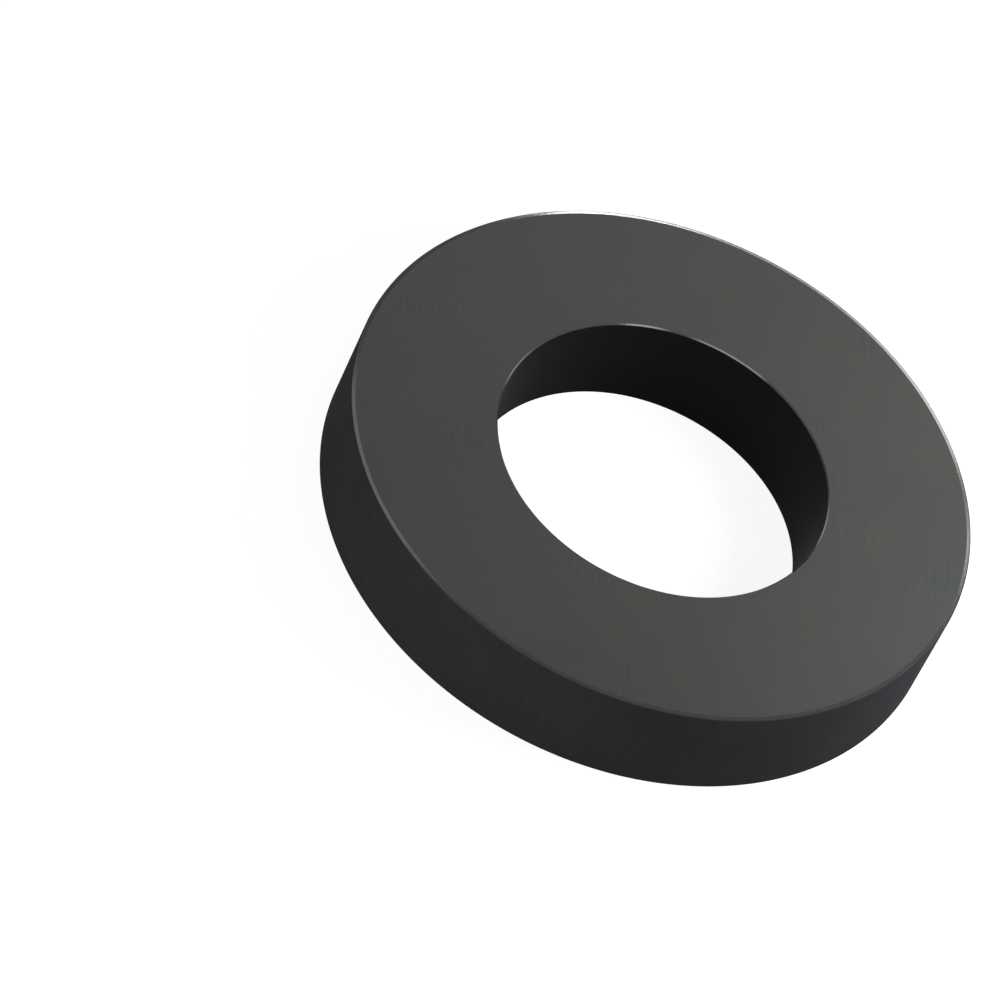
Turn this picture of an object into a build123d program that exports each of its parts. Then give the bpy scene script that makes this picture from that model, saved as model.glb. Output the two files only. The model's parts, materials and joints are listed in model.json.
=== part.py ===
from build123d import *

import os

# A ring magnet of hard ferrite, in millimetres: one pressed and sintered ring, ground flat on
# both faces.  It lies on its lower face.  Z is the axis of the bore, and the origin is the
# centre of the lower face.

# Driving dimensions
outer_diameter = 60.0  # over the rim
bore_diameter = 32.0  # the through hole
thickness = 10.0  # between the two ground faces

# The broken edge between each face and the rim: a shallow slope, far wider than it is deep
rim_break_on_face = 0.42
rim_break_on_wall = 0.08
rim_roll_radius = 0.10  # where that slope rolls into the rim

# The small 45 degree break at each mouth of the bore
bore_break = 0.12

with BuildPart() as ring_magnet:
    with BuildSketch():
        Circle(outer_diameter / 2)
        Circle(bore_diameter / 2, mode=Mode.SUBTRACT)
    extrude(amount=thickness)

    # Each end in turn: its outer edge first, then the mouth of the bore
    for end in (0, -1):
        face = ring_magnet.faces().filter_by(Axis.Z).sort_by(Axis.Z)[end]
        chamfer(face.outer_wire().edges(), rim_break_on_face, rim_break_on_wall, reference=face)
        face = ring_magnet.faces().filter_by(Axis.Z).sort_by(Axis.Z)[end]
        chamfer(face.inner_wires().edges(), bore_break)

    # Where the two outer breaks meet the rim: the only circles of the full diameter
    rim_circles = ring_magnet.edges().filter_by(GeomType.CIRCLE).sort_by(SortBy.RADIUS)[-2:]
    fillet(rim_circles, rim_roll_radius)

ring_magnet.part.label = "ring_magnet"

os.makedirs("parts", exist_ok=True)
export_step(ring_magnet.part, "parts/ring_magnet.step")
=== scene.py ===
"""Ring magnet of sintered ferrite: ground faces, as-fired rim, a fired bore darkened with painted shade,
and the stage it lies on.
"""

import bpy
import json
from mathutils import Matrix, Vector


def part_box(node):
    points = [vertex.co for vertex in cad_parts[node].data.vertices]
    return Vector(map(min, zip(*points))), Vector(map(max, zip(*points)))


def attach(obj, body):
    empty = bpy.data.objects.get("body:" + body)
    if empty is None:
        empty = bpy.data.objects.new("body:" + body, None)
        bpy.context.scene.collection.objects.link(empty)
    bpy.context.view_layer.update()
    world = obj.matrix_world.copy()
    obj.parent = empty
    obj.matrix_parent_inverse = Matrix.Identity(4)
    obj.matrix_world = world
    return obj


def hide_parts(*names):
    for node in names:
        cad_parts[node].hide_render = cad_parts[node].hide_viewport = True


bl_info = {
    "name": "Ring Magnet",
    "version": (1, 0, 0),
    "blender": (4, 5, 0),
    "location": "3D View > Sidebar > Ring Magnet",
    "description": "Builds a ground ferrite ring magnet and a plain white stage for it",
    "category": "Add Mesh",
}

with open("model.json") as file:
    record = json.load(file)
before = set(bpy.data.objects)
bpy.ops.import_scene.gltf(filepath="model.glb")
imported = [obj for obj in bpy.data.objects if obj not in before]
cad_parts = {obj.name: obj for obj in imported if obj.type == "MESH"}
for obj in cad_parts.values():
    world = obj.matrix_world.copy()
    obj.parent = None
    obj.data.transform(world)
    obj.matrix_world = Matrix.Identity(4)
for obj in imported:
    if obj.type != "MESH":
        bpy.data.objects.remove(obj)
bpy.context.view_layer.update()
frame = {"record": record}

import json
import math

import bmesh
import bpy
from bpy.props import FloatProperty, FloatVectorProperty, IntProperty, PointerProperty
from mathutils import Matrix, Vector

NODE = "ring_magnet"
MM = 0.001


def mount_radius(name):
    """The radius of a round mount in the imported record, in metres."""
    for mount in frame["record"]["mounts"]:
        if mount["name"] == name:
            return mount["dims"]["r_mm"] * MM
    raise KeyError(name)


node_low, node_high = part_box(NODE)


# ---------------------------------------------------------------------------------------------
# Settings that a user would change


def length(name, description, default):
    return FloatProperty(
        name=name, description=description, default=default, unit="LENGTH", precision=5
    )


def angle(name, description, degrees):
    return FloatProperty(
        name=name, description=description, default=math.radians(degrees), subtype="ANGLE"
    )


def amount(name, description, default, highest=1.0):
    return FloatProperty(
        name=name, description=description, default=default, min=0.0, max=highest
    )


def colour(name, description, default):
    return FloatVectorProperty(
        name=name, description=description, default=default, min=0.0, max=1.0, subtype="COLOR"
    )


class RingSizes(bpy.types.PropertyGroup):
    """Sizes of the ring and of its broken edges"""

    outer_radius: length("Outer radius", "Radius of the rim", mount_radius("rim"))
    bore_radius: length("Bore radius", "Radius of the through hole", mount_radius("bore"))
    thickness: length("Thickness", "Between the ground faces", node_high[2] - node_low[2])
    break_on_face: length("Break on face", "Width of the broken outer edge", 0.42 * MM)
    break_on_wall: length("Break on wall", "Depth of the broken outer edge", 0.08 * MM)
    rim_roll: length("Rim roll", "Radius where the break rolls into the rim", 0.10 * MM)
    bore_break: length("Bore break", "Break at each mouth of the bore", 0.12 * MM)
    segments: IntProperty(name="Segments", description="Steps round the ring", default=480, min=48)


class RingFinish(bpy.types.PropertyGroup):
    """Colours and surface of the ferrite"""

    ground_colour: colour("Ground face", "Ferrite where it is ground", (0.0475, 0.0475, 0.0470))
    warm_stain: colour("Warm stain", "Tint of the warm patches", (0.0510, 0.0495, 0.0428))
    cool_stain: colour("Cool stain", "Tint of the cool patches", (0.0440, 0.0485, 0.0505))
    rim_colour: colour("Rim", "Fired skin of the rim", (0.036, 0.037, 0.040))
    # The bore's colour is painted shade. It is set far darker than the rim's fired skin to stand in for the
    # shade inside the hole.
    bore_colour_with_painted_shade: colour("Bore", "Fired skin of the bore", (0.0055, 0.0055, 0.0065))
    edge_colour: colour("Broken edge", "Ferrite on the broken edges", (0.036, 0.036, 0.036))
    ground_roughness: amount("Ground roughness", "Roughness of the ground faces", 0.42)
    rim_roughness: amount("Rim roughness", "Roughness of the rim", 0.9)
    bore_roughness: amount("Bore roughness", "Roughness of the bore", 0.7)
    edge_roughness: amount("Edge roughness", "Roughness of the broken edges", 0.15)
    lay_angle: angle("Grinding lay", "Direction of the grinding marks from X", 109.5)


class StudioSettings(bpy.types.PropertyGroup):
    """Camera and light"""

    elevation: angle("Elevation", "Camera above the ring's faces", 46.08)
    roll: angle("Roll", "Camera turned about its own line of sight", 26.25)
    lens: FloatProperty(name="Lens", description="Focal length in mm", default=243.6, min=1.0)
    distance: length("Distance", "From the camera to the point it aims at", 0.6270)
    aim_left: length("Aim left", "How far left of the ring's centre it aims", 11.99 * MM)
    aim_up: length("Aim up", "How far above the ring's centre it aims", 2.41 * MM)
    floor_radius: length("Floor radius", "Size of the round floor", 6.0)
    room_light: amount("Room light", "Plain light from all round", 0.12, 10.0)


# ---------------------------------------------------------------------------------------------
# Shader nodes


class Signal:
    """A socket that Python expressions can use: each operation adds its Math node"""

    def __init__(self, paint, socket):
        self.paint = paint
        self.socket = socket

    def maths(self, operation, first, second):
        return self.paint.node("ShaderNodeMath", {"operation": operation}, {0: first, 1: second})

    def __add__(self, other):
        return self.maths("ADD", self, other)

    def __radd__(self, other):
        return self.maths("ADD", other, self)

    def __sub__(self, other):
        return self.maths("SUBTRACT", self, other)

    def __rsub__(self, other):
        return self.maths("SUBTRACT", other, self)

    def __mul__(self, other):
        return self.maths("MULTIPLY", self, other)

    def __rmul__(self, other):
        return self.maths("MULTIPLY", other, self)


class Paint:
    """Builds the node tree of one material or world"""

    def __init__(self, owner):
        owner.use_nodes = True
        self.tree = owner.node_tree
        self.tree.nodes.clear()

    def node(self, kind, settings=None, inputs=None, output=0):
        """A node of this kind, as the Signal of one of its outputs"""
        made = self.tree.nodes.new(kind)
        for name, value in (settings or {}).items():
            setattr(made, name, value)
        for name, value in (inputs or {}).items():
            socket = made.inputs[name]
            if isinstance(value, Signal):
                self.tree.links.new(value.socket, socket)
            elif socket.type == "RGBA":
                socket.default_value = (*value, 1.0)
            else:
                socket.default_value = value
        return Signal(self, made.outputs[output]) if made.outputs else made

    def place(self, per_mm, turn=0.0, shift=(0.0, 0.0, 0.0)):
        """Where a point of the ring lies, turned about Z, in cells of the sizes given"""
        turned = self.node(
            "ShaderNodeMapping",
            {"vector_type": "TEXTURE"},
            {
                "Vector": self.node("ShaderNodeTexCoord", output="Object"),
                "Rotation": (0.0, 0.0, turn),
                "Location": shift,
            },
        )
        cells = tuple(c / MM for c in per_mm)
        return self.node("ShaderNodeVectorMath", {"operation": "MULTIPLY"}, {0: turned, 1: cells})

    def noise(self, place, detail=2.0, roughness=0.5):
        """Fractal noise with its middle at 0 and most of it between -1 and 1"""
        grey = self.node(
            "ShaderNodeTexNoise",
            {"noise_dimensions": "3D"},
            {"Vector": place, "Scale": 1.0, "Detail": detail, "Roughness": roughness},
            output="Fac",
        )
        return (grey - 0.5) * 4.0

    def step(self, value, low, high):
        """0 up to low, 1 from high on, and smooth between"""
        return self.node(
            "ShaderNodeMapRange",
            {"interpolation_type": "SMOOTHSTEP"},
            {"Value": value, "From Min": low, "From Max": high},
        )

    def mix(self, factor, first, second):
        """A colour between two colours"""
        return self.node(
            "ShaderNodeMix", {"data_type": "RGBA"}, {0: factor, 6: first, 7: second}, output=2
        )

    def scaled(self, tint, factor):
        """A colour made lighter or darker"""
        return self.node(
            "ShaderNodeVectorMath", {"operation": "SCALE"}, {0: tint, "Scale": factor}
        )

    def bump(self, height, depth):
        """The normal of a surface with this height, where 1 stands for depth in metres"""
        return self.node("ShaderNodeBump", {}, {"Height": height, "Distance": depth})

    def principled(self, **sockets):
        return self.node("ShaderNodeBsdfPrincipled", {}, sockets)

    def finish(self, surface, kind="ShaderNodeOutputMaterial"):
        self.node(kind, {}, {"Surface": surface})


def new_material(name):
    made = bpy.data.materials.new(name)
    return made, Paint(made)


# ---------------------------------------------------------------------------------------------
# Ferrite

MATT_IOR = 1.5
POLISHED_IOR = 2.4
RIM_GLOSS = 0.01
BORE_GLOSS = 0.04
STAIN_STRENGTH = 0.8


def ground_ferrite(finish):
    """The two faces: ground flat, satin, with stains and short grinding marks along one lay"""
    made, paint = new_material("ground_ferrite")
    lay = finish.lay_angle

    grain = paint.noise(paint.place((9.0, 9.0, 9.0)), detail=3.0, roughness=0.6)
    cloud = paint.noise(paint.place((0.055, 0.055, 0.055), shift=(0.013, 0.004, 0.0)), detail=3.0)
    warm = paint.step(paint.noise(paint.place((0.16, 0.16, 0.1)), detail=2.0), -0.2, 0.9)
    cool_place = paint.place((0.14, 0.14, 0.1), shift=(0.11, 0.05, 0.0))
    cool = paint.step(paint.noise(cool_place, detail=2.0), -0.2, 0.9)

    long_marks = paint.noise(paint.place((0.40, 4.5, 1.0), turn=lay), detail=2.0, roughness=0.6)
    short_place = paint.place((0.6, 3.2, 1.0), turn=lay + 0.05, shift=(0.002, 0.001, 0.0))
    short_marks = paint.noise(short_place, detail=1.0)
    where = paint.step(
        paint.noise(paint.place((0.10, 0.10, 0.1), shift=(0.021, -0.013, 0.0)), detail=1.0), 0.1, 0.8
    )
    marks = long_marks * 0.3 + short_marks * (where * 1.6 + 0.2)

    tint = paint.mix(warm * STAIN_STRENGTH, finish.ground_colour, finish.warm_stain)
    tint = paint.mix(cool * STAIN_STRENGTH, tint, finish.cool_stain)
    tint = paint.scaled(tint, 1.0 + cloud * 0.05 + marks * 0.08 + grain * 0.03)
    rough = finish.ground_roughness + cloud * 0.02 - marks * 0.04 + grain * 0.02
    height = marks * 0.7 + grain * 0.3
    surface = paint.principled(
        **{
            "Base Color": tint,
            "Roughness": rough,
            "IOR": MATT_IOR,
            "Specular IOR Level": 0.5,
            "Normal": paint.bump(height, 0.0015 * MM),
        }
    )
    paint.finish(surface)
    return made


def fired_ferrite(name, colour, roughness, gloss):
    """The rim or the bore: the fired skin, charcoal, with faint drag marks along the axis; the bore's far
    darker colour is painted shade of the hole
    """
    made, paint = new_material(name)
    grain = paint.noise(paint.place((7.0, 7.0, 7.0)), detail=3.0, roughness=0.6)
    cloud = paint.noise(paint.place((0.12, 0.12, 0.12), shift=(0.03, 0.01, 0.02)), detail=3.0)
    drag = paint.noise(paint.place((2.2, 2.2, 0.12)), detail=2.0, roughness=0.6)
    tint = paint.scaled(colour, 1.0 + cloud * 0.08 + drag * 0.06 + grain * 0.05)
    surface = paint.principled(
        **{
            "Base Color": tint,
            "Roughness": roughness + cloud * 0.03 + grain * 0.03,
            "IOR": MATT_IOR,
            "Specular IOR Level": gloss,
            "Normal": paint.bump(drag * 0.4 + grain * 0.6, 0.003 * MM),
        }
    )
    paint.finish(surface)
    return made


def broken_edge(finish):
    """The broken edges: the same ferrite, smooth and bright where the light catches it"""
    made, paint = new_material("broken_edge")
    grain = paint.noise(paint.place((5.0, 5.0, 5.0)), detail=2.0)
    nick = paint.noise(paint.place((0.5, 0.5, 0.5)), detail=3.0)
    surface = paint.principled(
        **{
            "Base Color": paint.scaled(finish.edge_colour, 1.0 + nick * 0.15),
            "Roughness": finish.edge_roughness + grain * 0.02 + nick * 0.02,
            "IOR": POLISHED_IOR,
            "Specular IOR Level": 0.5,
            "Normal": paint.bump(grain, 0.001 * MM),
        }
    )
    paint.finish(surface)
    return made


# ---------------------------------------------------------------------------------------------
# The ring's mesh

BORE, EDGE, GROUND, RIM = range(4)


class Section:
    """Half of the ring's section, as points with the finish of the band that leads to each"""

    def __init__(self, radius, height):
        self.points = [(radius, height)]
        self.bands = []
        self.crisp = {0: False}

    def run(self, radius, height, steps, finish, crisp=True):
        """A straight line in even steps; crisp says that its start is a sharp corner"""
        first = self.points[-1]
        self.crisp[len(self.points) - 1] = crisp
        for i in range(1, steps + 1):
            t = i / steps
            self.points.append((first[0] + (radius - first[0]) * t, first[1] + (height - first[1]) * t))
            self.bands.append(finish)

    def roll(self, centre, radius, start, end, steps, finish):
        """An arc that leaves the last line smoothly; its angles are counted from straight up"""
        for i in range(1, steps + 1):
            tilt = start + (end - start) * i / steps
            self.points.append(
                (centre[0] + radius * math.sin(tilt), centre[1] + radius * math.cos(tilt))
            )
            self.bands.append(finish)


def whole_section(sizes):
    """The ring's closed section: points, the finish of the band after each, and crisp corners"""
    top = sizes.thickness
    bore = sizes.bore_radius
    rim = sizes.outer_radius
    upright = math.pi / 2
    slope = math.atan2(sizes.break_on_wall, sizes.break_on_face)
    reach = sizes.rim_roll * math.tan((upright - slope) / 2)
    roll_centre = (rim - sizes.rim_roll, top - sizes.break_on_wall - reach)

    half = Section(bore, top / 2)
    half.run(bore, top - sizes.bore_break, 8, BORE, crisp=False)
    half.run(bore + sizes.bore_break, top, 3, EDGE)
    half.run(rim - sizes.break_on_face, top, 14, GROUND)
    half.run(
        roll_centre[0] + sizes.rim_roll * math.sin(slope),
        roll_centre[1] + sizes.rim_roll * math.cos(slope),
        5,
        EDGE,
    )
    half.roll(roll_centre, sizes.rim_roll, slope, upright, 8, RIM)
    half.run(rim, top / 2, 8, RIM, crisp=False)

    last = len(half.points) - 1
    mirrored = [(radius, top - height) for radius, height in reversed(half.points[1:last])]
    crisp = {i for i, sharp in half.crisp.items() if sharp}
    return (
        half.points + mirrored,
        half.bands + half.bands[::-1],
        crisp | {2 * last - i for i in crisp},
    )


def lathe(name, points, bands, crisp, segments):
    """A mesh turned about Z from a closed section"""
    turned = bmesh.new()
    loops = []
    for radius, height in points:
        loops.append(
            [
                turned.verts.new(
                    (
                        radius * math.cos(2 * math.pi * j / segments),
                        radius * math.sin(2 * math.pi * j / segments),
                        height,
                    )
                )
                for j in range(segments)
            ]
        )
    for i, loop in enumerate(loops):
        following = loops[(i + 1) % len(loops)]
        for j in range(segments):
            k = (j + 1) % segments
            face = turned.faces.new((loop[j], following[j], following[k], loop[k]))
            face.material_index = bands[i]
            face.smooth = True
    for i in crisp:
        for j in range(segments):
            turned.edges.get((loops[i][j], loops[i][(j + 1) % segments])).smooth = False
    mesh = bpy.data.meshes.new(name)
    turned.to_mesh(mesh)
    turned.free()
    made = bpy.data.objects.new(name, mesh)
    bpy.context.scene.collection.objects.link(made)
    return made


class RINGMAGNET_OT_ring(bpy.types.Operator):
    """Build the ring: ground faces, fired rim, fired bore with painted shade in its colour, broken edges"""

    bl_idname = "ringmagnet.ring"
    bl_label = "Ring"

    def execute(self, context):
        sizes = context.scene.ring_sizes
        finish = context.scene.ring_finish
        if sizes.bore_radius + sizes.bore_break >= sizes.outer_radius - sizes.break_on_face:
            raise RuntimeError("The broken edges leave no face between the bore and the rim")
        ring = lathe("ferrite_ring", *whole_section(sizes), sizes.segments)
        for made in (
            # The bore's material carries painted shade: its colour is far darker than the rim's.
            fired_ferrite("bore_ferrite_painted_shade", finish.bore_colour_with_painted_shade, finish.bore_roughness, BORE_GLOSS),
            broken_edge(finish),
            ground_ferrite(finish),
            fired_ferrite("rim_ferrite", finish.rim_colour, finish.rim_roughness, RIM_GLOSS),
        ):
            ring.data.materials.append(made)
        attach(ring, "root")
        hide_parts(NODE)
        return {"FINISHED"}


# ---------------------------------------------------------------------------------------------
# The stage

WHITE = (1.0, 1.0, 1.0)
WHITE_NEAR_RING = 0.88
SHADOW_ENDS = 0.15
WHITE_BEGINS = 0.60

# Azimuth and elevation in degrees, distance, width and height in metres, and glow
SOFTBOXES = {
    "back_strip": (173, 26, 0.60, 0.22, 0.08, 3.2),
    "back_spot": (187, 26, 0.55, 0.070, 0.045, 15.0),
    "left_strip": (206, 56, 0.60, 0.11, 0.20, 0.5),
    "right_strip": (159, 37, 0.60, 0.08, 0.10, 2.2),
    "right_box": (50, 38, 0.60, 0.20, 0.16, 1.7),
    "front_box": (350, 44, 0.60, 0.40, 0.16, 1.15),
    "low_box": (350, 16, 0.60, 0.50, 0.16, 4.0),
    "left_box": (297, 18, 0.45, 0.25, 0.18, 3.2),
    "top_box": (0, 88, 0.50, 0.20, 0.20, 0.5),
    "rear_box": (195, 5, 0.60, 0.40, 0.08, 4.0),
}
# Lights the faces from the right without a mark of its own in the gloss
NEAR_LAMP = (100, 40, 0.10, 0.06, 0.06, 9.2)


def compass(azimuth, elevation):
    """A direction: azimuth from the camera's side, anticlockwise from above, both in degrees"""
    a = math.radians(azimuth)
    e = math.radians(elevation)
    return Vector((math.sin(a) * math.cos(e), -math.cos(a) * math.cos(e), math.sin(e)))


def softbox(name, azimuth, elevation, distance, width, height, glow):
    """A rectangular lamp that faces the ring; glow is its brightness, where white is 1"""
    data = bpy.data.lights.new(name, "AREA")
    data.shape = "RECTANGLE"
    data.size = width
    data.size_y = height
    data.energy = glow * math.pi * width * height
    lamp = bpy.data.objects.new(name, data)
    towards = compass(azimuth, elevation)
    lamp.location = towards * distance
    lamp.rotation_euler = towards.to_track_quat("Z", "Y").to_euler()
    lamp.visible_camera = False
    bpy.context.scene.collection.objects.link(lamp)
    return lamp


def eye_rays(paint):
    """1 for each kind of ray by which the background is seen: camera, glossy, transmission"""
    return [
        paint.node("ShaderNodeLightPath", output=name)
        for name in ("Is Camera Ray", "Is Glossy Ray", "Is Transmission Ray")
    ]


def background_rays(paint):
    """1 for the rays that see the plain white background, and 0 for the light that falls"""
    camera, glossy, transmission = eye_rays(paint)
    return paint.node("ShaderNodeClamp", {}, {"Value": camera + glossy + transmission})


def white_floor():
    """Pale card that is plain white to the eye and keeps the ring's soft shadow"""
    made, paint = new_material("white_floor")
    outwards = paint.node(
        "ShaderNodeVectorMath",
        {"operation": "LENGTH"},
        {0: paint.node("ShaderNodeTexCoord", output="Object")},
        output="Value",
    )
    away = paint.step(outwards, SHADOW_ENDS, WHITE_BEGINS)
    level = background_rays(paint) * (away * (1.0 - WHITE_NEAR_RING) + WHITE_NEAR_RING)
    card = paint.node("ShaderNodeBsdfDiffuse", {}, {"Color": (0.30, 0.30, 0.30)})
    white = paint.node("ShaderNodeEmission", {}, {"Color": paint.scaled(WHITE, level), "Strength": 1.0})
    paint.finish(paint.node("ShaderNodeAddShader", {}, {0: card, 1: white}))
    return made


def light_room(studio):
    """A white backdrop all round, and a plain dim room for the light that falls on the ring"""
    world = bpy.data.worlds.new("room")
    bpy.context.scene.world = world
    paint = Paint(world)
    height = paint.node(
        "ShaderNodeSeparateXYZ",
        {},
        {"Vector": paint.node("ShaderNodeTexCoord", output="Generated")},
        output="Z",
    )
    backdrop = 1.0 - paint.step(height, 0.10, 0.30)
    camera, glossy, transmission = eye_rays(paint)
    seen = paint.node("ShaderNodeClamp", {}, {"Value": camera + transmission + glossy * backdrop})
    level = studio.room_light + seen * (1.0 - studio.room_light)
    surface = paint.node("ShaderNodeBackground", {}, {"Color": paint.scaled(WHITE, level), "Strength": 1.0})
    paint.finish(surface, "ShaderNodeOutputWorld")


def place_camera(studio):
    """The camera looks down on the ring, turned about its line of sight"""
    across = Vector((1.0, 0.0, 0.0))
    back = compass(0.0, math.degrees(studio.elevation))
    upward = back.cross(across)
    turned = Matrix.Rotation(studio.roll, 3, back)
    across = turned @ across
    upward = turned @ upward
    aim = upward * studio.aim_up - across * studio.aim_left
    data = bpy.data.cameras.new("camera")
    data.lens = studio.lens
    data.clip_start = 0.01
    data.clip_end = 100.0
    camera = bpy.data.objects.new("camera", data)
    axes = Matrix((across, upward, back)).transposed().to_4x4()
    camera.matrix_world = Matrix.Translation(aim + back * studio.distance) @ axes
    bpy.context.scene.collection.objects.link(camera)
    bpy.context.scene.camera = camera


class RINGMAGNET_OT_stage(bpy.types.Operator):
    """Lay a white floor, hang the lamps and set the camera"""

    bl_idname = "ringmagnet.stage"
    bl_label = "Stage"

    def execute(self, context):
        studio = context.scene.ring_studio
        disc = bmesh.new()
        bmesh.ops.create_circle(disc, cap_ends=True, segments=96, radius=studio.floor_radius)
        mesh = bpy.data.meshes.new("floor")
        disc.to_mesh(mesh)
        disc.free()
        floor = bpy.data.objects.new("floor", mesh)
        floor.data.materials.append(white_floor())
        context.scene.collection.objects.link(floor)

        light_room(studio)
        for name, row in SOFTBOXES.items():
            softbox(name, *row)
        softbox("near_lamp", *NEAR_LAMP).visible_glossy = False
        place_camera(studio)

        context.scene.view_settings.view_transform = "Standard"
        return {"FINISHED"}


# ---------------------------------------------------------------------------------------------
# Panel and registration


class RINGMAGNET_PT_panel(bpy.types.Panel):
    """The ring magnet's settings and its two steps"""

    bl_label = "Ring Magnet"
    bl_idname = "RINGMAGNET_PT_panel"
    bl_space_type = "VIEW_3D"
    bl_region_type = "UI"
    bl_category = "Ring Magnet"

    def draw(self, context):
        for group, operator in (
            (context.scene.ring_sizes, None),
            (context.scene.ring_finish, RINGMAGNET_OT_ring),
            (context.scene.ring_studio, RINGMAGNET_OT_stage),
        ):
            box = self.layout.box()
            for name in group.bl_rna.properties.keys():
                if name not in ("rna_type", "name"):
                    box.prop(group, name)
            if operator:
                box.operator(operator.bl_idname)


CLASSES = (
    RingSizes,
    RingFinish,
    StudioSettings,
    RINGMAGNET_OT_ring,
    RINGMAGNET_OT_stage,
    RINGMAGNET_PT_panel,
)


def register():
    for cls in CLASSES:
        bpy.utils.register_class(cls)
    bpy.types.Scene.ring_sizes = PointerProperty(type=RingSizes)
    bpy.types.Scene.ring_finish = PointerProperty(type=RingFinish)
    bpy.types.Scene.ring_studio = PointerProperty(type=StudioSettings)


def unregister():
    del bpy.types.Scene.ring_studio
    del bpy.types.Scene.ring_finish
    del bpy.types.Scene.ring_sizes
    for cls in reversed(CLASSES):
        bpy.utils.unregister_class(cls)


def main():
    register()
    bpy.ops.ringmagnet.ring()
    bpy.ops.ringmagnet.stage()


if __name__ == "__main__":
    main()
